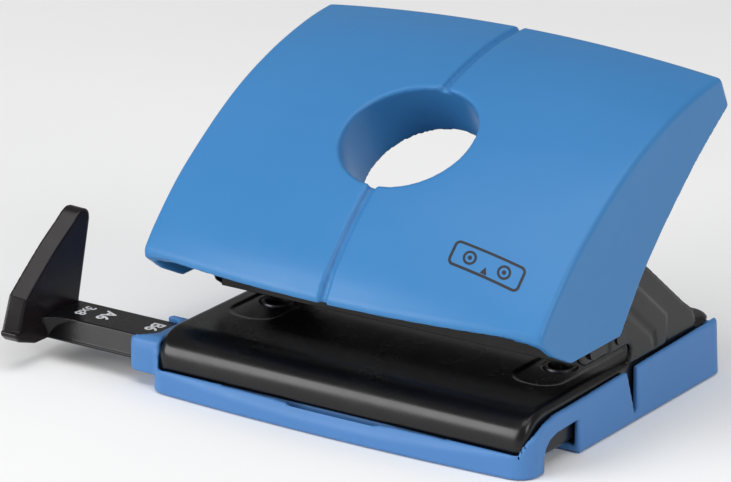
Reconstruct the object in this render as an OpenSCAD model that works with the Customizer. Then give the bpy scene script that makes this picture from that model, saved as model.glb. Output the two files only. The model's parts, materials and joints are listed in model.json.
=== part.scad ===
// Two-hole desk punch: steel frame, lever with plastic cover, chip tray
// hinged at the rear, and a paper rail that slides out to the left.
// Frame: +X right, +Y to the rear, +Z up; origin on the resting plane at the
// middle of the footprint.

/* [Punching] */
// Distance between the two punched holes
hole_spacing = 80; // [76:0.5:82]
// Diameter of the punch pins
pin_d = 6; // [5:0.1:6.4]
// Radial running clearance of the pins in their guides
pin_clear = 0.05; // [0.02:0.01:0.1]
// Distance from the paper's edge to the hole centres
edge_distance = 12; // [11:0.5:13]
// Height of the paper slot
slot_h = 4.4; // [4:0.1:4.8]

/* [Frame] */
// Width over the frame's side flanges
frame_w = 103; // [101:0.5:103]
// Thickness of the frame's sheet steel
sheet = 1.2; // [1:0.1:1.4]
// Height of the table that the paper lies on
table_z = 14.9; // [14.5:0.1:15.2]
// Radius of the rolled front of the table
roll_r = 9; // [8.6:0.1:9]

/* [Lever] */
// Half width of the lever cover
cover_w2 = 55.3; // [54.8:0.1:56]
// Wall thickness of the lever cover
cover_t = 2.2; // [1.8:0.1:2.4]
// Diameter of the round hole through the cover
window_d = 33.4; // [30:0.2:34]
// Diameter of the pivot shaft
shaft_d = 5; // [4:0.5:5]
// Diameter of the bar that pushes the pins
bar_d = 5; // [4:0.5:5]

/* [Tray] */
// Width of the chip tray
tray_w = 107; // [107:0.5:108]
// Thickness of the tray's floor
tray_floor = 1.6; // [1.4:0.1:1.8]
// Diameter of the anti-slip pads
foot_d = 9; // [7:0.5:10]

/* [Paper rail] */
// Length of the rail from the stop's face
rail_len = 114.3; // [110:0.1:114.3]
// Distance from the middle of the hole pair to the stop's face
stop_at = 86.2; // [85.5:0.1:87.5]
// Width of the rail
rail_w = 13.5; // [12.5:0.5:13.5]
// Height of the rail
rail_h = 5.6; // [5:0.1:5.6]

/* [Hidden] */

eps = 0.01;
px2 = hole_spacing / 2;          // a pin's distance from the middle
punch_y = -8.5;                  // the hole centres
slot_end_y = punch_y + edge_distance;
slot_top = table_z + slot_h;
pin_r = pin_d / 2;
guide_r = pin_r + pin_clear;
fw2 = frame_w / 2;
pivot_y = -24.5;                 // the lever's axis, along X
pivot_z = 42;
web1_top = slot_top + sheet;     // lower guide web
web2_z = 24.2;                   // upper guide web
web2_top = web2_z + sheet;
bar_y = punch_y;                 // the press bar is level with the pivot
bar_z = pivot_z;
pin_top = bar_z - bar_d/2 - 0.05;
pin_tip = slot_top + 0.5;
clip_z = pin_top - 1.45;         // underside of the pins' clips
clip_t = 0.9;
roll_y = -34.4;                  // where the front roll starts
roll_z = table_z - roll_r;
hinge_y = 40.4;                  // the tray's axis, along X
hinge_z = 5;
rail_y1 = -26;                 // rear face of the rail
rail_z0 = 5.2;                   // underside of the rail
black = [0.06, 0.06, 0.065];
blue = [0.22, 0.46, 0.74];
steel = [0.72, 0.73, 0.75];

// A profile in (Y, Z), carried from x0 to x1.
module along_x(x0, x1)
    translate([x0, 0, 0]) rotate([90, 0, 90])
        linear_extrude(x1 - x0) children();

// A round bar along X.
module rod_x(x0, x1, r, y, z)
    translate([x0, y, z]) rotate([0, 90, 0])
        cylinder(h = x1 - x0, r = r, $fn = 48);

// Points along an arc from angle a0 to a1, in n steps.
function arc(c, r, a0, a1, n) =
    [for (k = [0:n]) let (a = a0 + (a1 - a0) * k / n) c + r * [cos(a), sin(a)]];

// Both sides.
module both() { children(); mirror([1, 0, 0]) children(); }

// ---------------------------------------------------------------- frame

// Side of the frame in (Y, Z): flange, slot and ear in one sheet.
module ear_outline() {
    union() {
        polygon([[3, table_z - 1], [34, table_z - 1], [34.2, 12.9],
                 [34, 16], [32.7, 18.9], [28.4, 21.9], [10.7, 36],
                 [2, 43], [-10, 47.2], [-21, 48], [pivot_y - 2, 47.3],
                 [pivot_y - 5.7, 43.2], [pivot_y - 5, 38.5], [-21, 27],
                 [-18.4, slot_top + 1.5], [-16.3, slot_top],
                 [slot_end_y - slot_h/2, slot_top],
                 [slot_end_y - slot_h/2, table_z], [3, table_z]]);
        translate([pivot_y, pivot_z]) circle(r = 5.9, $fn = 48);
    }
}

module slot_cut()
    polygon(concat([[-30, slot_top], [-30, table_z]],
        arc([slot_end_y - slot_h/2, table_z + slot_h/2], slot_h/2, -90, 90, 12)));

// Section of the folded sheet in (Y, Z): outside, and the space inside it.
module sheet_outside()
    polygon(concat([[roll_y - roll_r, 5.2]],
        arc([roll_y, roll_z], roll_r, 180, 90, 12),
        [[44.5, table_z], [44.5, table_z - sheet], [37.6, table_z - sheet],
         [hinge_y + 2.8, hinge_z], [hinge_y + 1.6, 3], [roll_y, 3],
         [roll_y - 3, 4.2], [roll_y - 5, 5.2]]));
module sheet_inside()
    polygon(concat([[roll_y - roll_r + sheet, -5]],
        arc([roll_y, roll_z], roll_r - sheet, 180, 90, 12),
        [[60, table_z - sheet], [60, -5]]));

module base_frame()
    color(black) difference() {
        union() {
            difference() {
                along_x(-fw2, fw2) sheet_outside();
                along_x(-fw2 + sheet, fw2 - sheet) sheet_inside();
            }
            both() along_x(fw2 - sheet, fw2) {
                translate([hinge_y, hinge_z]) circle(r = 3, $fn = 40);
                difference() { ear_outline(); slot_cut(); }
            }
        }
        // seats of the two dies
        for (s = [-1, 1]) translate([s * px2, punch_y, table_z - sheet - 1])
            cylinder(h = sheet + 2, r = guide_r + 0.9, $fn = 48);
        // rounded rear corners of the table
        both() translate([0, 0, table_z - sheet - 1]) linear_extrude(sheet + 2)
            polygon(concat([[fw2 + 1, 45.5], [fw2 - 6, 45.5]],
                arc([fw2 - 6, 38.5], 6, 90, 0, 8), [[fw2 + 1, 38.5]]));
        // pivot bores and tray-hinge bores
        rod_x(-fw2 - 2, fw2 + 2, shaft_d/2 + 0.02, pivot_y, pivot_z);
        rod_x(-fw2 - 2, fw2 + 2, 2.05, hinge_y, hinge_z);
        // opening for the paper rail in the left flange
        translate([-fw2 - 1, rail_y1 - rail_w - 0.8, 0])
            cube([sheet + 2, rail_w + 1.6, rail_z0 + rail_h + 0.6]);
        // rivet holes
        both() for (y = [-13.4, -1.5])
            rod_x(fw2 - 2 * sheet, fw2 + 1, 1.25, y, 22.4);
    }

// Channel that guides the pins, open to the rear, with end tabs.
module punch_bridge() {
    x1 = fw2 - sheet;
    color(black) difference() {
        union() {
            along_x(-x1, x1) union() {
                translate([-17.4, slot_top]) square([18.4, sheet]);
                translate([-17.4, slot_top])
                    square([sheet, web2_top - slot_top]);
                translate([-17.4, web2_z]) square([18.4, sheet]);
            }
            both() along_x(x1 - sheet, x1)
                translate([-17.4, slot_top]) square([18.4, web2_top - slot_top]);
        }
        for (s = [-1, 1]) translate([s * px2, punch_y, slot_top - 1])
            cylinder(h = 10, r = guide_r, $fn = 48);
        both() for (y = [-13.4, -1.5])
            rod_x(x1 - sheet - 1, x1 + 1, 1.25, y, 22.4);
    }
}

module bridge_rivets()
    color(steel) both() for (y = [-13.4, -1.5]) {
        rod_x(fw2 - 2 * sheet - 0.7, fw2, 1.24, y, 22.4);
        rod_x(fw2, fw2 + 0.8, 2.2, y, 22.4);
        rod_x(fw2 - 2 * sheet - 0.7, fw2 - 2 * sheet, 1.75, y, 22.35);
    }

module pivot_shaft()
    color(steel) difference() {
        rod_x(-fw2 - 1.3, fw2 + 1.3, shaft_d/2, pivot_y, pivot_z);
        both() translate([fw2 + 0.1, pivot_y, pivot_z]) rotate([0, 90, 0])
            difference() {
                cylinder(h = 0.7, r = shaft_d, $fn = 48);
                translate([0, 0, -1]) cylinder(h = 3, r = shaft_d/2 - 0.6, $fn = 48);
            }
    }

// Retaining clip, lying in XY, open towards +X.
module e_clip(r_in, r_out, t)
    linear_extrude(t) difference() {
        circle(r = r_out, $fn = 48);
        circle(r = r_in, $fn = 48);
        translate([0, -r_in * 0.75]) square([r_out + 1, r_in * 1.5]);
    }

module shaft_clips()
    color(steel) both() translate([fw2 + 0.15, pivot_y, pivot_z])
        rotate([0, 90, 0]) e_clip(shaft_d/2 - 0.58, shaft_d/2 + 1.3, 0.6);

// Die ring: pressed up into the table from below, flush with its top.
module die(s)
    color(steel) translate([s * px2, punch_y, table_z - sheet - 1.6])
        difference() {
            union() {
                cylinder(h = 1.6, r = guide_r + 2.2, $fn = 48);
                translate([0, 0, 1.6])
                    cylinder(h = sheet, r = guide_r + 0.9, $fn = 48);
            }
            translate([0, 0, -1]) cylinder(h = 6, r = guide_r, $fn = 48);
        }
module left_die() die(-1);
module right_die() die(1);

// Return spring: a wire of 8 sides along a helix round the pin.
spring_turns = 4.5;
spring_wire = 0.35;
spring_r = 4.4;
function helix_ring(k, n, z0, z1) =
    let (a = 360 * spring_turns * k / n,
         z = z0 + spring_wire + (z1 - z0 - 2 * spring_wire) * k / n)
    [for (j = [0:7])
        let (b = 45 * j, r = spring_r + spring_wire * cos(b))
        [r * cos(a), r * sin(a), z + spring_wire * sin(b)]];
module helix(z0, z1) {
    n = 63;
    pts = [for (k = [0:n]) each helix_ring(k, n, z0, z1)];
    polyhedron(points = pts, faces = concat(
        [[for (j = [0:7]) j]],
        [for (k = [0:n-1]) for (j = [0:7])
            [k*8 + j, (k+1)*8 + j, (k+1)*8 + (j+1) % 8]],
        [for (k = [0:n-1]) for (j = [0:7])
            [k*8 + j, (k+1)*8 + (j+1) % 8, k*8 + (j+1) % 8]],
        [[for (j = [7:-1:0]) n*8 + j]]));
}
module spring(s)
    color(steel) translate([s * px2, punch_y, 0])
        helix(web2_top + 0.03, clip_z - 0.05);
module left_spring() spring(-1);
module right_spring() spring(1);

// ---------------------------------------------------------------- lever

// The cover's outline at its side edges and along its middle, front to rear.
edge_yz = [[-42, 34.9], [-38.5, 39.2], [-32.5, 45.3], [-27.5, 49.7],
           [-22.5, 53.4], [-17.5, 56.8], [-12.5, 60], [-7.5, 62.9],
           [-2.5, 65.5], [2.5, 67.7], [7.5, 69.6], [12.5, 71.3],
           [17.5, 72.7], [22.5, 73.9], [27.5, 74.9], [32.5, 75.6], [37, 76]];
mid_yz = [[-48.3, 35], [-44.5, 41], [-38, 47.9], [-32.3, 53.2], [-27, 57.2],
          [-21.5, 60.8], [-16, 64], [-10.5, 66.9], [-5, 69.3], [0.5, 71.5],
          [6, 73.6], [11.5, 75.4], [17, 76.8], [22.5, 77.9], [28, 78.6],
          [33, 79], [37, 79.3]];
// Lower edge of the side skirts, rear to front.
skirt_yz = [[34.5, 64.1], [27.3, 59.1], [21.9, 54.8], [14.8, 48.8],
            [9.6, 44.1], [3, 37.6], [-4.3, 28.4], [-7, 24.7],
            [-28.4, 24.6], [-36, 28.3]];
np = len(edge_yz);
function lerp2(a, b, k) = a + (b - a) * k;
function crown(i, x) = lerp2(mid_yz[i], edge_yz[i], pow(x / cover_w2, 2));
function unit(v) = v / norm(v);
function inward(i) = let (a = edge_yz[max(i - 1, 0)],
                          b = edge_yz[min(i + 1, np - 1)], t = unit(b - a))
    [t[1], -t[0]];
function front_low(x) = let (p = crown(0, x)) [p[0] + 0.2, 33];
function rear_low(x) = let (k = pow(x / cover_w2, 2)) [40.4 + 0.4 * k, 71.4 - 3.1 * k];
function outer_slice(x) = concat([for (i = [0:np-1]) crown(i, x)],
    [rear_low(x)], skirt_yz, [front_low(x)]);
function inner_slice(x) = concat(
    [[crown(0, x)[0] + cover_t, crown(0, x)[1] + 0.2]],
    [for (i = [1:np-2]) crown(i, x) + inward(i) * cover_t],
    [[crown(np-1, x)[0] - cover_t + 0.3, crown(np-1, x)[1] - cover_t]],
    [[rear_low(x)[0] - cover_t + 0.1, rear_low(x)[1] - 1],
     [rear_low(x)[0] - cover_t + 0.1, 12],
     [crown(0, x)[0] + cover_t, 12]]);

// Solid through slices of equal point count, each in its own plane of X.
module loft_x(xs, slices) {
    m = len(slices[0]);
    n = len(xs);
    pts = [for (k = [0:n-1]) for (p = slices[k]) [xs[k], p[0], p[1]]];
    polyhedron(points = pts, faces = concat(
        [[for (j = [m-1:-1:0]) j]],
        [for (k = [0:n-2]) for (j = [0:m-1])
            [k*m + j, (k+1)*m + (j+1) % m, (k+1)*m + j]],
        [for (k = [0:n-2]) for (j = [0:m-1])
            [k*m + j, k*m + (j+1) % m, (k+1)*m + (j+1) % m]],
        [[for (j = [0:m-1]) (n-1)*m + j]]));
}
module cover_outer() {
    xs = [for (k = [-6:6]) cover_w2 * k / 6];
    loft_x(xs, [for (x = xs) outer_slice(x)]);
}
module cover_inner() {
    w = cover_w2 - cover_t;
    xs = [for (k = [-6:6]) w * k / 6];
    loft_x(xs, [for (x = xs) inner_slice(x)]);
}

// Frame of the round window: its axis stands square to the cover.
window_y = -12.3;
window_z = 64.65;
window_tilt = 31.7;
module at_window()
    translate([0, window_y, window_z]) rotate([window_tilt, 0, 0]) children();

module handle_cover()
    color(blue) resize([0, 0, 0]) difference() {
        cover_outer();
        difference() {
            cover_inner();
            // tube wall of the window, deeper at the rear
            difference() {
                at_window() translate([0, 0, -22])
                    cylinder(h = 40, r = window_d/2 + 2, $fn = 64);
                along_x(-30, 30) polygon([[-60, 45.4], [-10.4, 45.4],
                    [30, 73.4], [30, 0], [-60, 0]]);
            }
            // screw bosses
            for (s = [-1, 1]) for (k = [0, 1])
                at_screw(s, k) cylinder(h = 12, r = 3, $fn = 24);
        }
        at_window() translate([0, 0, -40])
            cylinder(h = 80, r = window_d/2, $fn = 64);
        for (s = [-1, 1]) for (k = [0, 1])
            at_screw(s, k) translate([0, 0, -1]) cylinder(h = 4.6, r = 1.4, $fn = 24);
    }

// Line of the lever plate's upper face, front to rear.
plate_yz = [[-30.5, 43.4], [-20.7, 50.7], [-10.8, 56.8], [-1.1, 62.1],
            [8.6, 66.1], [18.3, 69], [28, 71.1]];
function plate_tilt(i) = let (t = plate_yz[i+1] - plate_yz[i])
    atan2(t[1], t[0]);
module at_screw(s, k) {
    i = k == 0 ? 1 : 4;
    p = (plate_yz[i] + plate_yz[i+1]) / 2;
    translate([s * (k == 0 ? 36 : 34), p[0], p[1]])
        rotate([plate_tilt(i), 0, 0]) children();
}

// Lever plate: bent sheet with two arms that carry the shaft and the bar.
arm_x = fw2 - sheet - 0.45;
module lever_plate()
    color(steel) difference() {
        union() {
            for (i = [0:5]) along_x(-arm_x, arm_x)
                polygon([plate_yz[i], plate_yz[i+1],
                         plate_yz[i+1] + [0.5, -sheet], plate_yz[i] + [0.5, -sheet]]);
            both() along_x(arm_x - sheet, arm_x) union() {
                polygon(concat([for (p = plate_yz) p + [0.2, -sheet/2]],
                    [[28.3, 68], [18, 64.5], [9, 60], [2, 53], [-2.5, 46],
                     [-4, 40.5], [-5.5, 38.5], [-12, 38.2], [-20, 37],
                     [-24.5, 36.4], [-30, 39]]));
                translate([pivot_y, pivot_z]) circle(r = 5.6, $fn = 48);
            }
        }
        at_window() translate([0, 0, -40])
            cylinder(h = 80, r = window_d/2 + 3.4, $fn = 64);
        rod_x(-60, 60, shaft_d/2 + 0.05, pivot_y, pivot_z);
        rod_x(-60, 60, bar_d/2 + 0.02, bar_y, bar_z);
        for (s = [-1, 1]) for (k = [0, 1])
            at_screw(s, k) translate([0, 0, -4]) cylinder(h = 8, r = 1.5, $fn = 24);
    }

module cover_screws()
    color(steel) for (s = [-1, 1]) for (k = [0, 1]) at_screw(s, k) {
        translate([0, 0, -3]) difference() {
            cylinder(h = 1.5, r = 2.6, $fn = 32);
            translate([-0.4, -1.8, -1]) cube([0.8, 3.6, 1.6]);
            translate([-1.8, -0.4, -1]) cube([3.6, 0.8, 1.6]);
        }
        translate([0, 0, -1.5 - eps]) cylinder(h = 4.8, r = 1.29, $fn = 32);
    }

module press_bar()
    color(steel) difference() {
        rod_x(-arm_x - 0.2, arm_x + 0.2, bar_d/2, bar_y, bar_z);
        both() translate([arm_x - sheet - 1, bar_y, bar_z]) rotate([0, 90, 0])
            difference() {
                cylinder(h = 0.7, r = bar_d, $fn = 48);
                translate([0, 0, -1]) cylinder(h = 3, r = bar_d/2 - 0.6, $fn = 48);
            }
    }
module press_bar_clips()
    color(steel) both() translate([arm_x - sheet - 0.95, bar_y, bar_z])
        rotate([0, 90, 0]) e_clip(bar_d/2 - 0.58, bar_d/2 + 1.1, 0.6);

// ---------------------------------------------------------------- punches

// Pin with a V-shaped cutting end and a groove for its clip.
module punch_pin(s)
    color(steel) translate([s * px2, punch_y, 0]) difference() {
        translate([0, 0, pin_tip])
            cylinder(h = pin_top - pin_tip, r = pin_r, $fn = 48);
        translate([0, 0, clip_z - 0.05]) difference() {
            cylinder(h = clip_t + 0.1, r = pin_r + 1, $fn = 48);
            translate([0, 0, -1]) cylinder(h = 4, r = pin_r - 0.6, $fn = 48);
        }
        along_x(-5, 5) polygon([[-pin_r - 0.1, pin_tip - 1],
            [pin_r + 0.1, pin_tip - 1], [pin_r - 0.6, pin_tip],
            [0, pin_tip + 1.2], [-pin_r + 0.6, pin_tip]]);
    }
module pin_clip(s)
    color(steel) translate([s * px2, punch_y, clip_z])
        e_clip(pin_r - 0.57, pin_r + 2.4, clip_t);
module left_punch_pin() punch_pin(-1);
module right_punch_pin() punch_pin(1);
module left_pin_clip() pin_clip(-1);
module right_pin_clip() pin_clip(1);

// ---------------------------------------------------------------- tray

tw2 = tray_w / 2;
// Plan of the tray, a mm inside its outer edge: bowed front, round corners.
function front_y(x, a) = -44 - 2 * (1 - pow(x / tw2, 2)) + a;
function tray_plan(a) = let (w = tw2 - a, r = max(5 - a, 0.5)) concat(
    [for (k = [-8:8]) let (x = (w - r) * k / 8) [x, front_y(x, a)]],
    [for (k = [1:6]) let (b = -90 + 15 * k)
        [w - r + r * cos(b), front_y(w - r, a) + r + r * sin(b)]],
    [for (k = [0:6]) let (b = 15 * k)
        [w - r + r * cos(b), 45.5 - a - r + r * sin(b)]],
    [for (k = [0:6]) let (b = 90 + 15 * k)
        [-w + r + r * cos(b), 45.5 - a - r + r * sin(b)]],
    [for (k = [0:5]) let (b = 180 + 15 * k)
        [-w + r + r * cos(b), front_y(w - r, a) + r + r * sin(b)]]);

collar_x = -60.5;
module chip_tray() {
    wall = tw2 - fw2 - 0.3;
    ry0 = rail_y1 - rail_w;
    color(blue) difference() {
        union() {
            // shell, cut down to its rim line
            difference() {
                linear_extrude(14) polygon(tray_plan(0));
                translate([0, 0, tray_floor])
                    linear_extrude(20) polygon(tray_plan(wall));
                // the rim drops towards the front with the rolled table
                along_x(-60, 60) polygon([[-60, 6.2], [roll_y - roll_r - 0.3, 6.2],
                    [-42.4, 8.6], [-40.5, 9.6], [-36, 11.6], [-31, 12.5],
                    [-22, 12.6], [60, 14.1], [60, 30], [-60, 30]]);
                // low rear wall, so that the tray can swing open
                translate([-fw2 - 0.2, 42, 11.8]) cube([frame_w + 0.4, 10, 10]);
                // room for the rolled front of the frame
                along_x(-fw2 - 0.3, fw2 + 0.3) intersection() {
                    translate([roll_y, roll_z])
                        circle(r = roll_r + 0.3, $fn = 96);
                    translate([-60, 4.9]) square([60, 30]);
                }
                // room for the frame's hinge lugs as the tray swings
                both() translate([fw2 - 1.7, 36, 2])
                    cube([2, 7.6, 13]);
            }
            // collar that the rail slides in
            translate([collar_x, ry0 - 2.2, 3])
                cube([-fw2 - 0.3 - collar_x, rail_w + 4, 9]);
            // guide ribs beside and under the rail
            translate([-49.5, rail_y1 + 0.25, tray_floor - eps])
                cube([99, 1.6, 8.6]);
            translate([-49.5, ry0 - 1.85, tray_floor - eps])
                cube([99, 1.6, 3.4]);
            for (x = [-40:16:40]) translate([x, ry0 - 0.5, tray_floor - eps])
                cube([1.6, rail_w + 1, rail_z0 - 0.15 - tray_floor]);
            // hinge pegs
            both() rod_x(fw2 - sheet - 0.3, fw2 + 0.8, 2, hinge_y, hinge_z);
        }
        // tunnel of the rail through collar and wall
        translate([collar_x - 1, ry0 - 0.25, rail_z0 - 0.25])
            cube([20, rail_w + 0.5, rail_h + 0.5]);
        // window over the format marks
        translate([collar_x - 1, ry0 - 0.25, rail_z0])
            cube([5.3, rail_w + 0.5, 12]);
        // arched finger notch in the right wall
        along_x(fw2 - 1.5, tw2 + 2) union() {
            polygon([[-36.6, -1], [-36.6, 3.2], [-35.8, 5.6], [-34, 7.2],
                     [-31, 8], [-21, 8.4], [-21, -1]]);
        }
        // slots that free the latch tongue at each side
        both() along_x(fw2 - 0.4, tw2 + 2)
            polygon([[2.4, 20], [3, 12.3], [7.6, 0.9], [8.1, 0.9], [8.1, 20]]);
        // recesses for the pads
        for (x = [-1, 1]) for (y = [-34, 33]) translate([x * 42, y, -1])
            cylinder(h = 2, r = foot_d/2, $fn = 48);
    }
}

module rubber_feet()
    color([0.12, 0.12, 0.12]) for (x = [-1, 1]) for (y = [-34, 33])
        translate([x * 42, y, 0]) cylinder(h = 1, r = foot_d/2, $fn = 48);

// Leaf behind the rail; its bump faces the rail's notches.
module rail_detent_spring()
    color(steel) translate([0, rail_y1 + 1.85, 0]) {
        translate([-34, 0, 4.4]) cube([26, 0.4, 4.6]);
        translate([-34, 0, 9]) cube([4, 1.6, 0.4]);
        translate([-12, 0, 9]) cube([4, 1.6, 0.4]);
    }

// ---------------------------------------------------------------- rail

module paper_rail() {
    x0 = -stop_at;
    y0 = rail_y1 - rail_w;
    color(black) difference() {
        along_x(x0, x0 + rail_len) polygon([[y0, rail_z0], [y0 + 0.1, rail_z0 + 0.8],
            [y0 + 1.5, rail_z0 + rail_h], [rail_y1, rail_z0 + rail_h],
            [rail_y1, rail_z0]]);
        // hollow underside
        translate([x0 + 3, y0 + 2.2, rail_z0 - 1])
            cube([rail_len - 6, rail_w - 4.4, rail_h - 1]);
        // detent notches, one for each paper format
        for (d = [68.5, 74, 88, 105, 125, 148.5, 165])
            translate([-63.2 - stop_at + d + 32, rail_y1, 4])
                rotate([0, 0, 45]) cube([1.1, 1.1, 16], center = true);
    }
}

module paper_stop()
    color(black) difference() {
        along_x(-stop_at - 4.4, -stop_at) polygon([[-51.9, 9.4], [-51.8, 11.8],
            [-48.3, 17.8], [-43.9, 21.8], [-36.6, 27.4], [-29.9, 31.8],
            [-27.2, 33.6], [-25.2, 34.2], [-23.2, 33.7], [-22, 32.4],
            [-21.8, 30.7], [-26.5, 11.6], [-26.5, rail_z0], [-38.5, rail_z0],
            [-44.5, 5.4], [-50.4, 7.7]]);
        // the outer face is hollow
        along_x(-stop_at - 5, -stop_at - 1.6)
            polygon([[-49.9, 10.2], [-46.9, 16.1], [-42.5, 20.1], [-35.6, 25.3],
                     [-27, 31], [-24.6, 31], [-28.4, 11.6], [-28.4, 7.2],
                     [-43.8, 7.4]]);
    }

base_frame();
punch_bridge();
bridge_rivets();
pivot_shaft();
shaft_clips();
left_die();
right_die();
left_spring();
right_spring();
lever_plate();
handle_cover();
cover_screws();
press_bar();
press_bar_clips();
left_punch_pin();
right_punch_pin();
left_pin_clip();
right_pin_clip();
chip_tray();
rubber_feet();
rail_detent_spring();
paper_rail();
paper_stop();
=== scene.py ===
"""Looks of the desk punch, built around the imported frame. Lengths in the
helpers are millimetres in the row frame; meshes are scaled to metres."""
import json
import math
import bpy
import numpy as np
from mathutils import Matrix, Vector


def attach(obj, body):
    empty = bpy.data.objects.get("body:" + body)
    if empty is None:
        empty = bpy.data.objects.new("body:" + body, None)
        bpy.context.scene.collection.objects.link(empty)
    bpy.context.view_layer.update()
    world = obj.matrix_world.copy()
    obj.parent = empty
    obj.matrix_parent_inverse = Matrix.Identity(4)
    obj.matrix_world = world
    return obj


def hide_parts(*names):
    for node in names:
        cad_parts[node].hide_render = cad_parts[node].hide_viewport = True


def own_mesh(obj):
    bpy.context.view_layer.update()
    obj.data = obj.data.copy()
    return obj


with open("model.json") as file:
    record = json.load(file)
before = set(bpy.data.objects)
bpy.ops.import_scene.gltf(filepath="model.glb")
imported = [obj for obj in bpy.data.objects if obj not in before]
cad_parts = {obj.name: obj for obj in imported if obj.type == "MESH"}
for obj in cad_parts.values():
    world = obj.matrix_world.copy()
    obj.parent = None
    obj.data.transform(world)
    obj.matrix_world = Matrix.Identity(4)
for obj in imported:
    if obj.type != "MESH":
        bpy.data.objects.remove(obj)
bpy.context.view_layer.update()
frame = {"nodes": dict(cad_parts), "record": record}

NODES = frame["nodes"]

# ------------------------------------------------------------ distance fields
# Each solid is a function of (x, y, z) in mm, negative inside. It is sampled
# on a grid, and its surface is taken out as an even net of quads.


def rmax(a, b, r):
    """Intersection with its edge rounded to r."""
    u, v = np.maximum(r + a, 0), np.maximum(r + b, 0)
    return np.minimum(-r, np.maximum(a, b)) + np.sqrt(u * u + v * v)


def rmin(a, b, r):
    """Union with its inner corner filled to r."""
    return -rmax(-a, -b, r)


def cut(a, b, r):
    """a without b, its new edge rounded to r."""
    return rmax(a, -b, r)


def poly2(u, v, pts, closed=True):
    """Signed distance to a polygon in (u, v), negative inside; for an open
    line, negative to its right as it is followed."""
    pts = np.asarray(pts, float)
    d2 = np.full(np.broadcast(u, v).shape, 1e18)
    sgn = np.ones_like(d2)
    n = len(pts)
    rng = range(n) if closed else range(n - 1)
    if closed:
        inside = np.zeros(d2.shape, bool)
        for i in rng:
            a, b = pts[i], pts[(i + 1) % n]
            e = b - a
            wu, wv = u - a[0], v - a[1]
            t = np.clip((wu * e[0] + wv * e[1]) / (e @ e), 0, 1)
            d2 = np.minimum(d2, (wu - t * e[0]) ** 2 + (wv - t * e[1]) ** 2)
            if a[1] != b[1]:
                c = ((v >= a[1]) != (v >= b[1])) & (
                    u < a[0] + (v - a[1]) * e[0] / e[1])
                inside ^= c
        return np.where(inside, -1.0, 1.0) * np.sqrt(d2)
    best = np.zeros_like(d2)
    for i in rng:
        a, b = pts[i], pts[i + 1]
        e = b - a
        wu, wv = u - a[0], v - a[1]
        t = (wu * e[0] + wv * e[1]) / (e @ e)
        if i > 0:
            t = np.maximum(t, 0)
        if i < n - 2:
            t = np.minimum(t, 1)
        q = (wu - t * e[0]) ** 2 + (wv - t * e[1]) ** 2
        s = e[0] * wv - e[1] * wu
        # ties at a shared corner go to the line the point is more square to
        nearer = q < d2 - 1e-12
        tie = np.abs(q - d2) <= 1e-12
        s = s / np.sqrt(e @ e)
        take = nearer | (tie & (np.abs(s) > np.abs(best)))
        best = np.where(take, s, best)
        d2 = np.minimum(d2, q)
    return np.sign(best) * np.sqrt(d2)


def spline(pts, per=8):
    """Smooth line through points (Catmull-Rom), per steps between them."""
    p = np.asarray(pts, float)
    p = np.vstack([2 * p[0] - p[1], p, 2 * p[-1] - p[-2]])
    out = []
    for i in range(1, len(p) - 2):
        for k in range(per):
            t = k / per
            out.append(0.5 * ((2 * p[i]) + (p[i + 1] - p[i - 1]) * t
                       + (2 * p[i - 1] - 5 * p[i] + 4 * p[i + 1] - p[i + 2]) * t * t
                       + (3 * p[i] - p[i - 1] - 3 * p[i + 1] + p[i + 2]) * t ** 3))
    out.append(p[-2])
    return np.array(out)


def box2(u, v, u0, u1, v0, v1, r=0.0):
    du = np.abs(u - (u0 + u1) / 2) - (u1 - u0) / 2 + r
    dv = np.abs(v - (v0 + v1) / 2) - (v1 - v0) / 2 + r
    return (np.sqrt(np.maximum(du, 0) ** 2 + np.maximum(dv, 0) ** 2)
            + np.minimum(np.maximum(du, dv), 0) - r)


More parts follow.
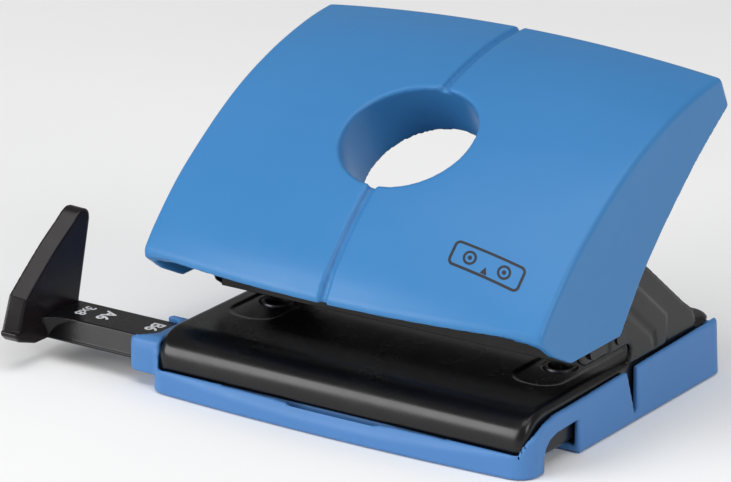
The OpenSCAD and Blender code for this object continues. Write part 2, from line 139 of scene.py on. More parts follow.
def surface(f, lo, hi, h):
    """Net of quads on f = 0 inside the box lo..hi, cell size h."""
    lo, hi = np.array(lo, float), np.array(hi, float)
    n = np.ceil((hi - lo) / h).astype(int) + 1
    ax = [lo[i] + h * np.arange(n[i]) for i in range(3)]
    g = np.empty(tuple(n), np.float32)
    step = max(1, int(6e5 / (n[1] * n[2])))
    y = ax[1][None, :, None]
    z = ax[2][None, None, :]
    for i in range(0, n[0], step):
        g[i:i + step] = f(ax[0][i:i + step, None, None], y, z)
    inside = g < 0
    cells = np.zeros(tuple(n - 1), np.uint8)
    for a in (0, 1):
        for b in (0, 1):
            for c in (0, 1):
                cells += inside[a:n[0] - 1 + a, b:n[1] - 1 + b, c:n[2] - 1 + c]
    act = np.argwhere((cells > 0) & (cells < 8))
    index = np.full(tuple(n - 1), -1, np.int64)
    index[act[:, 0], act[:, 1], act[:, 2]] = np.arange(len(act))
    corner = {}
    for a in (0, 1):
        for b in (0, 1):
            for c in (0, 1):
                corner[a, b, c] = g[act[:, 0] + a, act[:, 1] + b, act[:, 2] + c]
    acc = np.zeros((len(act), 3))
    cnt = np.zeros(len(act))
    for axis in range(3):
        for s in (0, 1):
            for t in (0, 1):
                a0 = [s, t]
                a0.insert(axis, 0)
                a1 = [s, t]
                a1.insert(axis, 1)
                v0, v1 = corner[tuple(a0)], corner[tuple(a1)]
                m = (v0 < 0) != (v1 < 0)
                with np.errstate(divide="ignore", invalid="ignore"):
                    w = np.where(m, v0 / (v0 - v1), 0)
                p = np.zeros((len(act), 3))
                p[:, axis] = w
                o = [s, t]
                k = 0
                for d in range(3):
                    if d != axis:
                        p[:, d] = o[k]
                        k += 1
                acc += np.where(m[:, None], p, 0)
                cnt += m
    vert = lo + (act + acc / np.maximum(cnt, 1)[:, None]) * h
    # pull each point onto the surface along the gradient
    for _ in range(2):
        e = 0.05 * h
        f0 = np.asarray(fpt(f, vert))
        gr = np.stack([(fpt(f, vert + d) - fpt(f, vert - d)) / (2 * e)
                       for d in np.eye(3) * e], 1)
        g2 = np.maximum((gr ** 2).sum(1), 0.05)
        mv = -(f0 / g2)[:, None] * gr
        ln = np.linalg.norm(mv, axis=1)
        mv *= np.minimum(1, 0.35 * h / np.maximum(ln, 1e-9))[:, None]
        vert = vert + mv
    quads = []
    for axis in range(3):
        u, v = [(1, 2), (2, 0), (0, 1)][axis]
        sl0 = [slice(None)] * 3
        sl1 = [slice(None)] * 3
        sl0[axis], sl1[axis] = slice(0, n[axis] - 1), slice(1, n[axis])
        a, b = inside[tuple(sl0)], inside[tuple(sl1)]
        e = np.argwhere(a != b)
        e = e[(e[:, u] > 0) & (e[:, v] > 0) & (e[:, u] < n[u] - 1) & (e[:, v] < n[v] - 1)]
        flip = a[e[:, 0], e[:, 1], e[:, 2]]
        q = []
        for du, dv in ((0, 0), (1, 0), (1, 1), (0, 1)):
            c = e.copy()
            c[:, u] -= 1 - du
            c[:, v] -= 1 - dv
            q.append(index[c[:, 0], c[:, 1], c[:, 2]])
        q = np.stack(q, 1)
        q[~flip] = q[~flip][:, ::-1]
        quads.append(q)
    quads = np.concatenate(quads)
    return vert, quads


def fpt(f, p):
    out = np.empty(len(p))
    for i in range(0, len(p), 200000):
        s = p[i:i + 200000]
        out[i:i + 200000] = f(s[:, 0], s[:, 1], s[:, 2])
    return out


def mesh_piece(name, verts, faces, body, mat, replaces=(), smooth=True):
    me = bpy.data.meshes.new(name)
    verts = np.asarray(verts, float) / 1000.0
    faces = np.asarray(faces)
    k = faces.shape[1]
    me.vertices.add(len(verts))
    me.vertices.foreach_set("co", verts.astype(np.float32).ravel())
    me.loops.add(faces.size)
    me.loops.foreach_set("vertex_index", faces.astype(np.int32).ravel())
    me.polygons.add(len(faces))
    me.polygons.foreach_set("loop_start", np.arange(0, faces.size, k, dtype=np.int32))
    me.polygons.foreach_set("loop_total", np.full(len(faces), k, np.int32))
    me.update(calc_edges=True)
    me.validate()
    if smooth:
        me.polygons.foreach_set("use_smooth", np.ones(len(me.polygons), bool))
    ob = bpy.data.objects.new(name, me)
    bpy.context.scene.collection.objects.link(ob)
    me.materials.append(mat)
    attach(ob, body)
    if replaces:
        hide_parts(*replaces)
    return ob


def solid(name, f, lo, hi, h, body, mat, replaces=()):
    v, q = surface(f, lo, hi, h)
    return mesh_piece(name, v, q, body, mat, replaces)


# ------------------------------------------------------------------ materials

def mat_new(name):
    m = bpy.data.materials.new(name)
    m.use_nodes = True
    nt = m.node_tree
    bsdf = nt.nodes["Principled BSDF"]
    return m, nt, bsdf


def noise(nt, scale, detail=4.0, rough=0.5):
    tc = nt.nodes.new("ShaderNodeTexCoord")
    n = nt.nodes.new("ShaderNodeTexNoise")
    n.inputs["Scale"].default_value = scale
    n.inputs["Detail"].default_value = detail
    n.inputs["Roughness"].default_value = rough
    nt.links.new(tc.outputs["Object"], n.inputs["Vector"])
    return n


def ramp(nt, fac, stops):
    r = nt.nodes.new("ShaderNodeValToRGB")
    els = r.color_ramp.elements
    while len(els) < len(stops):
        els.new(0.5)
    for e, (p, c) in zip(els, stops):
        e.position = p
        e.color = (*c, 1) if len(c) == 3 else c
    nt.links.new(fac, r.inputs["Fac"])
    return r


def map_range(nt, src, a, b, lo, hi):
    r = nt.nodes.new("ShaderNodeMapRange")
    r.inputs["From Min"].default_value = a
    r.inputs["From Max"].default_value = b
    r.inputs["To Min"].default_value = lo
    r.inputs["To Max"].default_value = hi
    nt.links.new(src, r.inputs["Value"])
    return r


def bump(nt, bsdf, height, strength, distance):
    b = nt.nodes.new("ShaderNodeBump")
    b.inputs["Strength"].default_value = strength
    b.inputs["Distance"].default_value = distance
    nt.links.new(height, b.inputs["Height"])
    nt.links.new(b.outputs["Normal"], bsdf.inputs["Normal"])
    return b


def plastic(name, dark, light, rough, bump_s=0.05, grain=900.0, spec=0.5, coat=0.0):
    """Moulded plastic: fine spark-eroded grain, slow colour drift, and a
    roughness that varies a little, as on a handled surface."""
    m, nt, bs = mat_new(name)
    slow = noise(nt, 18.0, 3.0)
    col = ramp(nt, slow.outputs["Fac"], [(0.3, dark), (0.7, light)])
    nt.links.new(col.outputs["Color"], bs.inputs["Base Color"])
    mid = noise(nt, 140.0, 5.0, 0.6)
    r = map_range(nt, mid.outputs["Fac"], 0.3, 0.7, rough - 0.04, rough + 0.05)
    nt.links.new(r.outputs["Result"], bs.inputs["Roughness"])
    fine = noise(nt, grain, 2.0, 0.6)
    bump(nt, bs, fine.outputs["Fac"], bump_s, 0.0002)
    bs.inputs["Specular IOR Level"].default_value = spec
    bs.inputs["Coat Weight"].default_value = coat
    bs.inputs["Coat Roughness"].default_value = 0.12
    return m


def enamel(name):
    """Black stoved enamel on steel: gloss coat with faint orange peel."""
    m, nt, bs = mat_new(name)
    slow = noise(nt, 30.0, 3.0)
    col = ramp(nt, slow.outputs["Fac"], [(0.3, (0.0022, 0.002, 0.0023)), (0.75, (0.004, 0.0037, 0.0042))])
    nt.links.new(col.outputs["Color"], bs.inputs["Base Color"])
    mid = noise(nt, 90.0, 5.0, 0.6)
    r = map_range(nt, mid.outputs["Fac"], 0.3, 0.7, 0.22, 0.3)
    nt.links.new(r.outputs["Result"], bs.inputs["Roughness"])
    peel = noise(nt, 420.0, 2.0, 0.5)
    bump(nt, bs, peel.outputs["Fac"], 0.05, 0.0002)
    bs.inputs["Specular IOR Level"].default_value = 0.4
    return m


def metal(name, base, rough, aniso=0.0, streak=(1.0, 1.0, 1.0), dirt=0.85):
    m, nt, bs = mat_new(name)
    tc = nt.nodes.new("ShaderNodeTexCoord")
    mp = nt.nodes.new("ShaderNodeMapping")
    mp.inputs["Scale"].default_value = streak
    nt.links.new(tc.outputs["Object"], mp.inputs["Vector"])
    n = nt.nodes.new("ShaderNodeTexNoise")
    n.inputs["Scale"].default_value = 220.0
    n.inputs["Detail"].default_value = 6.0
    nt.links.new(mp.outputs["Vector"], n.inputs["Vector"])
    dark = tuple(c * dirt for c in base)
    col = ramp(nt, n.outputs["Fac"], [(0.25, dark), (0.7, base)])
    nt.links.new(col.outputs["Color"], bs.inputs["Base Color"])
    r = map_range(nt, n.outputs["Fac"], 0.3, 0.7, rough - 0.05, rough + 0.08)
    nt.links.new(r.outputs["Result"], bs.inputs["Roughness"])
    bump(nt, bs, n.outputs["Fac"], 0.06, 0.0001)
    bs.inputs["Metallic"].default_value = 1.0
    return m


M_COVER = plastic("cover_blue", (0.040, 0.190, 0.440), (0.046, 0.204, 0.466), 0.36, 0.035, 1500.0, 0.28)
M_TRAY = plastic("tray_blue", (0.070, 0.205, 0.470), (0.078, 0.220, 0.500), 0.44, 0.06, 1200.0, 0.26)
M_RAIL = plastic("rail_black", (0.006, 0.0055, 0.006), (0.009, 0.008, 0.009), 0.28, 0.05, 1200.0, 0.3)
M_STOP = plastic("stop_black", (0.010, 0.007, 0.008), (0.014, 0.010, 0.011), 0.24, 0.04, 1200.0, 0.3)
M_RUBBER = plastic("pad_rubber", (0.018, 0.018, 0.018), (0.030, 0.030, 0.030), 0.75, 0.3, 500.0, 0.3)
M_MARK = plastic("mark_white", (0.78, 0.79, 0.80), (0.84, 0.85, 0.86), 0.5, 0.02, 900.0)
M_PRINT = plastic("print_black", (0.008, 0.010, 0.016), (0.012, 0.014, 0.022), 0.45, 0.02, 900.0)
M_FRAME = enamel("frame_enamel")
M_PIN = metal("pin_steel", (0.60, 0.61, 0.63), 0.22, streak=(1, 1, 12))
M_DIE = metal("die_dark", (0.10, 0.10, 0.11), 0.35)
M_SHAFT = metal("shaft_steel", (0.64, 0.65, 0.67), 0.25, streak=(0.1, 4, 4))
M_LEVER = metal("lever_zinc", (0.55, 0.56, 0.56), 0.38, streak=(1, 0.2, 1), dirt=0.7)
M_FAST = metal("fastener_zinc", (0.62, 0.62, 0.60), 0.32, dirt=0.75)
M_SPRING = metal("spring_steel", (0.50, 0.51, 0.53), 0.28)

# -------------------------------------------------------------------- outline
FW2, CW2, TW2 = 51.5, 55.3, 53.5
TABLE_Z, SHEET = 14.9, 1.2
ROLL_Y, ROLL_R = -34.4, 9.0
ROLL_Z = TABLE_Z - ROLL_R
PIVOT = (-24.5, 42.0)

EDGE = [(-42, 34.9), (-38.5, 39.2), (-32.5, 45.3), (-27.5, 49.7), (-22.5, 53.4),
        (-17.5, 56.8), (-12.5, 60), (-7.5, 62.9), (-2.5, 65.5), (2.5, 67.7),
        (7.5, 69.6), (12.5, 71.3), (17.5, 72.7), (22.5, 73.9), (27.5, 74.9),
        (32.5, 75.6), (37, 76)]
MID = [(-48.3, 35), (-44.5, 41), (-38, 47.9), (-32.3, 53.2), (-27, 57.2),
       (-21.5, 60.8), (-16, 64), (-10.5, 66.9), (-5, 69.3), (0.5, 71.5),
       (6, 73.6), (11.5, 75.4), (17, 76.8), (22.5, 77.9), (28, 78.6),
       (33, 79), (37, 79.3)]
SKIRT = [(-80, 33.7), (-43.2, 33.7), (-36, 28.3), (-28.6, 24.65), (-7, 24.7),
         (-4.3, 28.4), (3, 37.6), (9.6, 44.1), (14.8, 48.8), (21.9, 54.8),
         (27.3, 59.1), (34.5, 64.1), (41.2, 68.5), (70, 87)]
EDGE_S, MID_S = spline(EDGE, 5), spline(MID, 5)
SKIRT_S = np.vstack([SKIRT[:4], spline(SKIRT[4:12], 3), SKIRT[12:]])
WIN_Y, WIN_Z, WIN_T, WIN_R = -12.3, 64.65, math.radians(31.7), 16.7


def cover_fields(x, y, z):
    k = np.minimum((x / CW2) ** 2, 1.15)
    # lines followed front to rear: the inside is on the right, so negative
    top = poly2(y, z, MID_S, False) * (1 - k) + poly2(y, z, EDGE_S, False) * k
    yf = MID[0][0] * (1 - k) + EDGE[0][0] * k
    front = (yf + 0.1 - y) - 0.045 * (z - 32)
    rear = ((y - 37.0) * 0.897 + (z - (79.3 * (1 - k) + 76 * k)) * 0.442)
    side = np.abs(x) - CW2
    return top, front, rear, side


def window(x, y, z):
    c, s = math.cos(WIN_T), math.sin(WIN_T)
    dy, dz = y - WIN_Y, z - WIN_Z
    return np.sqrt(x * x + (dy * c + dz * s) ** 2) - WIN_R


def f_cover(x, y, z):
    top, front, rear, side = cover_fields(x, y, z)
    skin = rmax(rmax(top, front, 0.55), rear, 1.4)
    hood = rmax(skin, side, 1.0)
    # centre groove, over the crown and down the front lip
    groove = rmax(np.abs(x) - 1.0, -(skin + 1.0), 0.3)
    hood = cut(hood, groove, 0.35)
    rho = window(x, y, z)
    hood = cut(hood, rho, 0.9)
    inner = rmax(rmax(rmax(top + 2.2, front + 2.2, 1.0), rear + 2.2, 1.0), side + 2.2, 1.0)
    # tube wall of the window, deeper at the rear
    low = np.maximum(45.4 - z, (45.4 + (y + 10.4) * 0.691 - z) * 0.823)
    tube = rmax(rho - 2.0, low, 0.9)
    bosses = 1e3
    for s in (-1, 1):
        for bx, p, t in ((36, (-15.75, 53.75), 31.6), (34, (13.45, 67.55), 16.6)):
            c, sn = math.cos(math.radians(t)), math.sin(math.radians(t))
            dy, dz = y - p[0], z - p[1]
            along = -dy * sn + dz * c
            r = np.sqrt((x - s * bx) ** 2 + (dy * c + dz * sn) ** 2)
            bosses = np.minimum(bosses, np.maximum(r - 3.0, 0.05 - along))
    hollow = np.maximum(inner, -np.minimum(tube, bosses))
    body = cut(hood, hollow, 0.35)
    skirt = -poly2(y, z, SKIRT_S, False)
    body = rmax(body, skirt, 0.4)
    return body


def f_frame(x, y, z):
    ax = np.abs(x)
    # stamped relief round each die
    rel = np.minimum(box2(x, y, -46.5, -33.5, -22.5, 12, 5.5), box2(x, y, 33.5, 46.5, -22.5, 12, 5.5))
    sink = 0.32 * sstep(rel, 0.5, -0.5)
    # pan: table with the rolled front and the side flanges
    roll = np.where((y < ROLL_Y) & (z > ROLL_Z),
                    np.sqrt((y - ROLL_Y) ** 2 + (z - ROLL_Z) ** 2) - ROLL_R,
                    np.where(y < ROLL_Y, ROLL_Y - ROLL_R - y, z + sink - TABLE_Z))
    plan = box2(x, y, -FW2, FW2, -43.4, 44.5, 6.0)
    front_plan = box2(x, y, -FW2, FW2, -43.4, 90, 3.2)
    plan = np.where(y > 0, plan, front_plan)
    out = rmax(roll, plan, 2.0)
    inn = rmax(roll + SHEET, plan + SHEET, 1.0)
    pan = cut(out, inn, 0.25)
    # lower edges: front lip, side flanges, and the open rear
    lowline = -poly2(y, z, [(-70, 5.4), (-39, 5.4), (-37, 4.4), (-34.4, 3.1), (39, 3.1), (41.6, 4.2),
                          (43.0, 5.2), (37.8, TABLE_Z - SHEET - 0.1), (80, TABLE_Z - SHEET - 0.1)], False)
    lug = np.maximum(np.sqrt((y - 40.4) ** 2 + (z - 5) ** 2) - 3.0, np.abs(ax - (FW2 - 0.6)) - 0.6)
    pan = rmax(pan, lowline, 0.3)
    pan = np.minimum(pan, lug)
    # ears
    slab = np.abs(ax - (FW2 - SHEET / 2)) - SHEET / 2
    emb = poly2(y, z, [(-6, 42.2), (8.7, 30.3), (20, 21.2), (20.3, 14.9), (15.4, 11.0), (-2, 11), (-6, 20)])
    rib = poly2(y, z, [(-6, 35.4), (4.9, 26.4), (14.2, 18.9), (15.2, 15.6), (14.2, 14.6), (12.6, 18), (3.6, 25.2), (-6, 33)])
    lift = 0.38 * sstep(emb, 0.45, -0.45) - 0.3 * sstep(rib, 0.35, -0.35)
    slab = np.abs(ax - lift - (FW2 - SHEET / 2)) - SHEET / 2
    ear2 = poly2(y, z, EAR)
    ear2 = np.minimum(ear2, np.sqrt((y - PIVOT[0]) ** 2 + (z - PIVOT[1]) ** 2) - 5.9)
    slot = box2(y, z, -40, 3.5, TABLE_Z, 19.3, 2.15)
    slot = np.where(y < -3, np.maximum(TABLE_Z - z, z - 19.3), slot)
    ear2 = rmax(ear2, -slot, 0.3)
    ear = rmax(slab, ear2, 0.3)
    body = np.minimum(pan, ear)
    for s in (-1, 1):
        hole = np.sqrt((x - s * 40) ** 2 + (y + 8.5) ** 2) - 3.95
        body = rmax(body, -np.maximum(hole, z - 16), 0.12)
    # bores
    piv = np.sqrt((y - PIVOT[0]) ** 2 + (z - PIVOT[1]) ** 2) - 2.52
    peg = np.sqrt((y - 40.4) ** 2 + (z - 5) ** 2) - 2.05
    body = np.maximum(body, -np.minimum(piv, peg))
    # rail opening in the left flange
    rail = np.maximum(np.maximum(box2(y, z, -40.3, -25.2, -5, 11.4, 0.4), x + 47), -x - 60)
    body = rmax(body, -rail, 0.1)
    return body


def sstep(v, a, b):
    t = np.clip((v - a) / (b - a), 0, 1)
    return t * t * (3 - 2 * t)


EAR = [(3, 13.9), (34, 13.9), (34.2, 14.6), (34, 16), (32.7, 18.9), (28.4, 21.9),
       (10.7, 36), (2, 43), (-10, 47.2), (-21, 48), (-26.5, 47.3), (-30.2, 43.2),
       (-29.5, 38.5), (-21, 27), (-18.4, 20.8), (-16.3, 19.3), (1.3, 19.3),
       (2.9, 18.7), (3.5, 17.1), (2.9, 15.5)]

# ------------------------------------------------------------------- the tray

def f_tray(x, y, z):
    ax = np.abs(x)
    wid = 53.5 - 0.5 * np.clip(z, 0, 14) / 14
    yf = -44 - 2 * (1 - np.minimum((x / TW2) ** 2, 1))
    side = ax - wid
    rear = y - 45.5 + 0.4 * np.clip(z, 0, 14) / 14
    plan = rmax(rmax(side, yf - y, 5.0), rear, 5.0)
    rim = poly2(y, z, [(-70, 6.2), (-43.7, 6.2), (-42.4, 8.6), (-40.5, 9.6), (-36, 11.6),
                       (-31, 12.5), (-22, 12.6), (38, 13.95), (45, 14.1), (70, 14.4)], False)
    out = rmax(plan, rim, 0.45 + 0.75 * sstep(y, 26.0, 40.0))
    ledge = -0.847 * (y + 43.7) + 0.531 * (z - 6.2) - 0.3
    out = rmax(out, ledge, 0.5)
    out = rmax(out, -z, 0.5)
    inn = rmax(rmax(ax - 51.8, yf + 1.7 - y, 3.3), y - 43.8, 3.3)
    inn = rmax(inn, 1.6 - z, 0.6)
    body = cut(out, inn, 0.3)
    # low rear wall and room for the rolled front
    body = cut(body, rmax(rmax(ax - 51.6, 42 - y, 1.0), 11.8 - z, 0.6), 0.4)
    body = cut(body, np.maximum(np.maximum(ax - 50.6, y + 38), 6.15 - z), 0.5)
    roll = np.sqrt((y - ROLL_Y) ** 2 + (z - ROLL_Z) ** 2) - 9.12
    roll = np.maximum(np.maximum(roll, 4.9 - z), np.maximum(box2(x, y, -51.8, 51.8, -43.6, 60, 3.3), y - ROLL_Y))
    body = cut(body, roll, 0.2)
    lug = np.maximum(np.maximum(np.abs(y - 39.8) - 3.8, 2.0 - z), np.abs(ax - 50.8) - 1.0)
    body = np.maximum(body, -lug)
    # ribs beside and under the rail
    ribs = np.maximum(box2(y, z, -25.75, -24.15, 1.0, 10.2, 0.3), box2(x, z, -49.5, 49.5, -9, 40))
    ribs = np.minimum(ribs, np.maximum(box2(y, z, -41.35, -39.75, 1.0, 5.0, 0.3), box2(x, z, -49.5, 49.5, -9, 40)))
    cross = np.abs((x + 40) - 16 * np.clip(np.round((x + 40) / 16), 0, 5) - 0.8) - 0.8
    ribs = np.minimum(ribs, np.maximum(cross, box2(y, z, -40, -25.5, 1.0, 5.05, 0.2)))
    body = rmin(body, ribs, 0.35)
    # collar that the rail slides in
    col = box2(x, y, -60.5, -50.3, -41.9, -24.2, 2.2)
    cz = poly2(y, z, COLLAR)
    col = rmax(rmax(col, cz, 1.3), x + 51.85, 0.1)
    body = rmin(body, col, 0.8)
    tun = np.maximum(box2(y, z, -39.75, -25.75, 4.95, 11.05, 0.3), np.maximum(x + 41.5, -x - 66))
    body = cut(body, tun, 0.15)
    win = np.maximum(box2(x, y, -72, -54.9, -39.75, -25.75, 4.6), 5.2 - z)
    body = cut(body, win, 0.45)
    # arched finger notch in the right wall, latch slots in both
    arch = np.maximum(poly2(y, z, [(-36.6, -3), (-36.6, 3.2), (-35.8, 5.6), (-34, 7.2), (-31, 8), (-21.6, 8.3), (-21.6, -3)]), 47 - x)
    body = cut(body, arch, 0.45)
    slots = np.maximum(poly2(y, z, [(-0.4, 20), (0.1, 12.7), (3.2, 2.2), (4.6, 2.0), (4.6, 20)]), 51.2 - ax)
    body = cut(body, slots, 0.25)
    # hinge pegs
    peg = np.sqrt((y - 40.4) ** 2 + (z - 5) ** 2)
    body = np.minimum(body, np.maximum(rmax(peg - 2.0, 50.0 - ax, 0.3), ax - 52.4))
    # seats of the pads
    pads = np.sqrt((ax - 42) ** 2 + np.minimum((y + 34) ** 2, (y - 33) ** 2)) - 4.5
    body = np.maximum(body, -np.maximum(pads, z - 1.0))
    return body


COLLAR = [(-41.9, 3.0), (-41.9, 9.3), (-41.2, 11.2), (-39.4, 12.2), (-24.2, 12.2), (-24.2, 3.0)]


# ------------------------------------------------------- paper rail and stop

RAIL = [(-39.5, 5.2), (-39.4, 6.0), (-38, 10.8), (-26, 10.8), (-26, 5.2)]
RX0 = -86.2


def f_rail(x, y, z):
    # gusset into the stop: wide at the top, running out at the lower edge
    r = 10.2
    t = np.clip(x - RX0, 0, r)
    arc = np.sqrt(np.maximum(r * r - (r - t) ** 2, 0))
    foot = 5.0 + 0.569 * arc
    depth = 0.4 * (r - arc) * np.clip((z - foot) / np.maximum(10.8 - foot, 0.4), 0, 1)
    prof = poly2(y, z, RAIL)
    flare = np.maximum(poly2(y + depth, z, RAIL) * 0.7, y + 30)
    lip = box2(y, z, -39.7, -37.5, 5.2, 5.95, 0.3)
    prof = np.minimum(prof, lip)
    prof = rmax(prof, x - 28.1, 0.5)
    body = rmax(np.minimum(prof, flare), (RX0 - 0.6) - x, 0.1)
    hol = np.maximum(box2(x, y, RX0 + 3, 25.1, -37.3, -28.2, 0.8), z - 8.8)
    body = cut(body, hol, 0.2)
    for d in (68.5, 74, 88, 105, 125, 148.5, 165):
        xc = -63.2 - 86.2 + d + 32
        n = (np.abs(x - xc) + np.abs(y + 26) - 0.78) * 0.7071
        body = np.maximum(body, -n)
    return body


STOP = [(-51.9, 9.4), (-51.8, 11.8), (-48.3, 17.8), (-43.9, 21.8), (-36.6, 27.4), (-29.9, 31.8),
        (-27.2, 33.6), (-25.2, 34.2), (-23.2, 33.7), (-22, 32.4), (-21.8, 30.7), (-26.5, 11.6),
        (-26.5, 5.2), (-38.5, 5.2), (-44.5, 5.4), (-50.4, 7.7)]
STOP_S = np.vstack([spline([(-48.6, 18.0)] + STOP[3:11], 5), STOP[11:], [(-51.7, 8.6), (-51.9, 9.6)]])
STOP_IN = [(-49.9, 10.2), (-46.9, 16.1), (-42.5, 20.1), (-35.6, 25.3), (-27, 31), (-24.6, 31),
           (-28.4, 11.6), (-28.4, 7.2), (-43.8, 7.4)]


def f_stop(x, y, z):
    out = poly2(y, z, STOP_S)
    # the front band leans in towards the inner face; the rear edge is square
    side = ((y + 38) * 0.88 - (z - 8) * 0.475)
    lean = sstep(side, 2.0, -3.0) * sstep(z, 6.0, 10.0)
    fin = out + lean * 1.25 * np.clip((x + 90.6) / 4.4, 0, 1)
    fin = rmax(fin, np.abs(x + 88.4) - 2.2, 0.35)
    body = cut(fin, np.maximum(poly2(y, z, STOP_IN), x + 87.8), 0.35)
    # foot under the flat facet
    foot = rmax(poly2(y, z, [(-52.0, 8.7), (-52.05, 9.7), (-46, 9.9), (-40, 9.0), (-38.5, 5.2), (-44.5, 5.3), (-50.6, 7.3)]),
                np.abs(x + 88.4) - 2.35, 0.25)
    body = np.minimum(body, np.maximum(foot, -(x + 90.7)))
    return body


# ------------------------------------------------------------------ springs

def helix(xc, yc, z0, z1, r, wire, turns, closed):
    n = int(44 * turns)
    u = np.linspace(0, turns, n + 1)
    lo, hi = closed, turns - closed
    tight = wire * 2.15
    z = np.where(u < lo, u * tight,
                 np.where(u > hi, (z1 - z0 - 2 * wire) - (turns - u) * tight,
                          lo * tight + (u - lo) / (hi - lo) * ((z1 - z0 - 2 * wire) - 2 * lo * tight)))
    k = np.array([1, 4, 6, 4, 1], float) / 16
    zz = np.convolve(np.pad(z, 2, "edge"), k, "valid")
    a = 2 * np.pi * u
    side = 12
    verts, faces = [], []
    for i in range(n + 1):
        ca, sa = math.cos(a[i]), math.sin(a[i])
        for j in range(side):
            b = 2 * math.pi * j / side
            q = r + wire * math.cos(b)
            verts.append((xc + q * ca, yc + q * sa, z0 + wire + zz[i] + wire * math.sin(b)))
    for i in range(n):
        for j in range(side):
            p, q = i * side + j, i * side + (j + 1) % side
            faces.append((p, p + side, q + side, q))
    base = len(verts)
    for i, s in ((0, 0), (n, 1)):
        ring = [i * side + j for j in range(side)]
        c = np.mean([verts[k] for k in ring], 0)
        verts.append(tuple(c))
        for j in range(side):
            t = (ring[j], ring[(j + 1) % side], base + s, base + s)
            faces.append(t)
    return verts, faces


def spring(side, sign, body):
    v, f = helix(sign * 40, -8.5, 25.43, 37.9, 4.4, 0.35, 6.5, 1.0)
    me = bpy.data.meshes.new(side + "_return_spring")
    me.from_pydata([tuple(c / 1000 for c in p) for p in v], [],
                   [q if q[2] != q[3] else q[:3] for q in f])
    me.update()
    me.polygons.foreach_set("use_smooth", [True] * len(me.polygons))
    ob = bpy.data.objects.new(side + "_return_spring", me)
    bpy.context.scene.collection.objects.link(ob)
    import bmesh
    bm = bmesh.new()
    bm.from_mesh(me)
    bmesh.ops.recalc_face_normals(bm, faces=bm.faces)
    bm.to_mesh(me)
    bm.free()
    me.materials.append(M_SPRING)
    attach(ob, body)
    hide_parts(side + "_spring")
    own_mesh(ob)
    return ob


# -------------------------------------------------------------------- marks

def mark(name, text, x, size, y=-31.3, z=10.8, lift=0.03):
    cu = bpy.data.curves.new(name, "FONT")
    cu.body = text
    cu.size = size
    cu.align_x = "CENTER"
    cu.align_y = "CENTER"
    cu.extrude = 0.03
    cu.resolution_u = 6
    cu.offset = 0.02 * size
    ob = bpy.data.objects.new(name, cu)
    bpy.context.scene.collection.objects.link(ob)
    bpy.context.view_layer.update()
    me = bpy.data.meshes.new_from_object(ob.evaluated_get(bpy.context.evaluated_depsgraph_get()))
    bpy.data.objects.remove(ob)
    me.name = name
    m = Matrix(((0, 1, 0, x), (-1, 0, 0, y), (0, 0, 1, z + lift - 0.03), (0, 0, 0, 1)))
    me.transform(Matrix.Scale(0.001, 4) @ m)
    ob = bpy.data.objects.new(name, me)
    bpy.context.scene.collection.objects.link(ob)
    me.materials.clear()
    me.materials.append(M_MARK)
    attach(ob, "rail")
    return ob


def pictogram():
    """Printed two-hole sign low on the right of the cover: a rounded frame
    with two discs and a centre mark, laid on the cover's surface."""
    xc, hw, hh = 36.6, 9.2, 2.9

    def shape(a, b):
        frame_line = np.abs(box2(a, b, -hw, hw, -hh, hh, 1.2)) - 0.34
        disc = np.sqrt((np.abs(a) - 4.6) ** 2 + b ** 2)
        disc = np.minimum(np.abs(disc - 1.45) - 0.3, disc - 0.55)
        tick = poly2(a, b, [(-0.9, -2.4), (0.9, -2.4), (0, -0.6)])
        return np.minimum(np.minimum(frame_line, disc), tick)

    c = 0.16
    na, nb = int(2 * (hw + 0.8) / c), int(2 * (hh + 0.8) / c)
    a = -(hw + 0.8) + c * np.arange(na + 1)
    b = -(hh + 0.8) + c * np.arange(nb + 1)
    A, B = np.meshgrid(a, b, indexing="ij")
    mid = shape(A[:-1, :-1] + c / 2, B[:-1, :-1] + c / 2) < 0
    for _ in range(3):
        f0 = shape(A, B)
        ga = (shape(A + 0.01, B) - shape(A - 0.01, B)) / 0.02
        gb = (shape(A, B + 0.01) - shape(A, B - 0.01)) / 0.02
        near = np.abs(f0) < 0.12
        edge = np.zeros_like(near)
        cnt = np.zeros(near.shape, int)
        for i in (0, 1):
            for j in (0, 1):
                cnt[i:i + mid.shape[0], j:j + mid.shape[1]] += mid
        edge = near & (cnt > 0) & (cnt < 4)
        A = np.where(edge, A - f0 * ga, A)
        B = np.where(edge, B - f0 * gb, B)
    # along the slope, measured from the sign's middle
    yc = -35.6
    X = xc + A
    Y = yc + B * 0.72
    lo, hi = np.full(X.shape, 38.0), np.full(X.shape, 66.0)
    for _ in range(30):
        m = (lo + hi) / 2
        top = cover_fields(X, Y, m)[0]
        inside = top < 0
        lo, hi = np.where(inside, m, lo), np.where(inside, hi, m)
    Z = (lo + hi) / 2
    n = np.array([0, -0.69, 0.724])
    verts, faces, ids = [], [], -np.ones(X.shape, int)

    def vid(i, j):
        if ids[i, j] < 0:
            ids[i, j] = len(verts)
            verts.append((X[i, j], Y[i, j] + n[1] * 0.03, Z[i, j] + n[2] * 0.03))
        return ids[i, j]
    for i, j in np.argwhere(mid):
        faces.append((vid(i, j), vid(i + 1, j), vid(i + 1, j + 1), vid(i, j + 1)))
    return mesh_piece("cover_sign", verts, faces, "lever", M_PRINT)


# ---------------------------------------------------------------- put together

BODY_OF = {}
for _b, _ns in frame["record"]["behaviour"]["bodies"].items():
    for _n in _ns:
        BODY_OF[_n] = _b

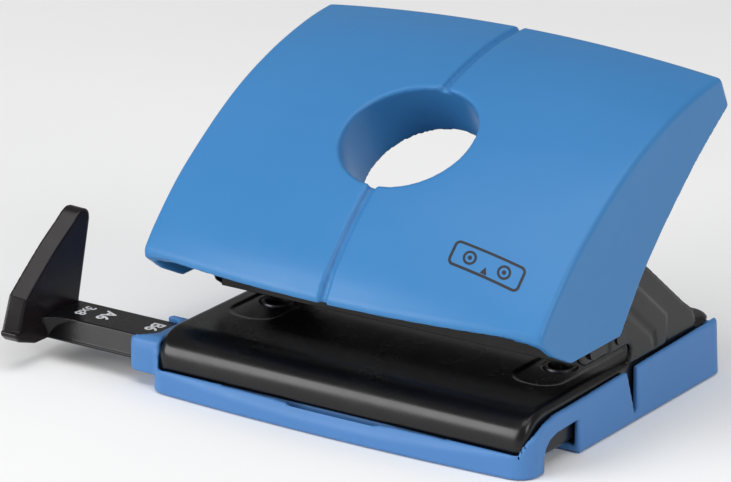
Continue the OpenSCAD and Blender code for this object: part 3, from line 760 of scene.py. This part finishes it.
solid("frame_pan", f_frame, (-53.5, -45.5, 1), (53.5, 46.5, 50.5), 0.55, BODY_OF["base_frame"], M_FRAME, ("base_frame",))
solid("lever_hood", f_cover, (-57, -50.5, 23.5), (57, 43, 81), 0.66, BODY_OF["handle_cover"], M_COVER, ("handle_cover",))
solid("catch_tray", f_tray, (-62, -47.5, -1), (55, 47.5, 15.5), 0.55, BODY_OF["chip_tray"], M_TRAY, ("chip_tray",))
solid("guide_rail", f_rail, (-88.0, -49.5, 4.2), (29.5, -24.5, 12), 0.32, BODY_OF["paper_rail"], M_RAIL, ("paper_rail",))
solid("rail_stop", f_stop, (-91.8, -53.0, 4.2), (-85.2, -20.8, 35.4), 0.3, BODY_OF["paper_stop"], M_STOP, ("paper_stop",))
for _side, _sign in (("left", -1), ("right", 1)):
    spring(_side, _sign, BODY_OF[_side + "_spring"])
for _n, _t, _x in (("mark_b6", "B6", -60.2), ("mark_a6", "A6", -74.5), ("mark_3x8", "3x8", -80.9), ("mark_a5", "A5", -43.2), ("mark_b5", "B5", -23.2), ("mark_a4", "A4", 0.3)):
    mark(_n, _t, _x, 5.0 if len(_t) < 3 else 4.1)

pictogram()
KEEP = {"punch_bridge": M_FRAME, "bridge_rivets": M_FRAME, "pivot_shaft": M_SHAFT, "shaft_clips": M_SPRING,
        "left_die": M_DIE, "right_die": M_DIE, "lever_plate": M_LEVER, "cover_screws": M_FAST,
        "press_bar": M_SHAFT, "press_bar_clips": M_SPRING, "left_punch_pin": M_PIN, "right_punch_pin": M_PIN,
        "left_pin_clip": M_SPRING, "right_pin_clip": M_SPRING, "rubber_feet": M_RUBBER, "rail_detent_spring": M_SPRING}
for _n, _m in KEEP.items():
    _o = NODES[_n]
    _o.data.materials.clear()
    _o.data.materials.append(_m)
    if _n in ("punch_bridge", "lever_plate", "left_die", "right_die", "rubber_feet", "bridge_rivets", "cover_screws"):
        w = _o.modifiers.new("weld", "WELD")
        w.merge_threshold = 0.00001
        b = _o.modifiers.new("edge", "BEVEL")
        b.width = 0.0002
        b.segments = 2
        b.limit_method = "ANGLE"
        b.angle_limit = math.radians(35)
        b.use_clamp_overlap = True

# ------------------------------------------------------- floor, light, camera

def floor():
    me = bpy.data.meshes.new("studio_floor")
    # a sweep: flat under the object, curving up far behind
    pts = []
    for k in range(2):
        for i in range(41):
            s = i / 40
            if s < 0.6:
                y, z = -2.5 + s / 0.6 * 4.5, 0.0
            else:
                a = (s - 0.6) / 0.4 * math.pi / 2
                y, z = 2.0 + 1.6 * math.sin(a), 1.6 * (1 - math.cos(a))
            pts.append((-4.0 + 8.0 * k, y, z - 0.0002))
    faces = [(i, i + 41, i + 42, i + 1) for i in range(40)]
    me.from_pydata(pts, [], faces)
    me.update()
    ob = bpy.data.objects.new("studio_floor", me)
    bpy.context.scene.collection.objects.link(ob)
    m, nt, bs = mat_new("studio_paper")
    n = noise(nt, 6.0, 3.0)
    c = ramp(nt, n.outputs["Fac"], [(0.3, (0.90, 0.90, 0.90)), (0.7, (0.93, 0.93, 0.93))])
    nt.links.new(c.outputs["Color"], bs.inputs["Base Color"])
    bs.inputs["Roughness"].default_value = 0.9
    bs.inputs["Specular IOR Level"].default_value = 0.1
    me.materials.append(m)


def area(name, loc, target, size, power, color=(1, 1, 1)):
    li = bpy.data.lights.new(name, "AREA")
    li.shape = "RECTANGLE"
    li.size, li.size_y = size
    li.energy = power
    li.color = color
    ob = bpy.data.objects.new(name, li)
    bpy.context.scene.collection.objects.link(ob)
    ob.location = loc
    d = Vector(target) - Vector(loc)
    ob.rotation_euler = d.to_track_quat("-Z", "Y").to_euler()
    return ob


floor()
world = bpy.context.scene.world or bpy.data.worlds.new("studio")
bpy.context.scene.world = world
world.use_nodes = True
bg = world.node_tree.nodes["Background"]
bg.inputs["Color"].default_value = (1, 1, 1, 1)
bg.inputs["Strength"].default_value = 0.25
area("key_box", (-0.85, -1.2, 0.55), (0, 0, 0.03), (1.1, 0.8), 17.0)
area("top_box", (0.15, -0.2, 1.4), (0, 0, 0.03), (1.4, 1.0), 10.0)
area("right_box", (1.25, -0.35, 0.75), (0, 0, 0.04), (0.8, 0.6), 7.0)

cam_data = bpy.data.cameras.new("photo_camera")
cam_data.sensor_width = 36.0
cam_data.sensor_fit = "HORIZONTAL"
cam_data.lens = 246.3
cam_data.clip_start = 0.05
cam_data.clip_end = 30.0
cam = bpy.data.objects.new("photo_camera", cam_data)
bpy.context.scene.collection.objects.link(cam)
az, el, ro = math.radians(33.76), math.radians(19.01), math.radians(0.11)
right = Vector((math.cos(az), math.sin(az), 0))
back = Vector((math.sin(az) * math.cos(el), -math.cos(az) * math.cos(el), math.sin(el)))
up = back.cross(right)
r2 = right * math.cos(ro) + up * math.sin(ro)
u2 = up * math.cos(ro) - right * math.sin(ro)
mw = Matrix.Identity(4)
for i in range(3):
    mw[i][0], mw[i][1], mw[i][2] = r2[i], u2[i], back[i]
mw.translation = Vector((0.6079, -0.9398, 0.4208))
cam.matrix_world = mw
bpy.context.scene.camera = cam
bpy.context.scene.view_settings.view_transform = "Standard"
bpy.context.scene.view_settings.look = "None"

bpy.context.view_layer.update()
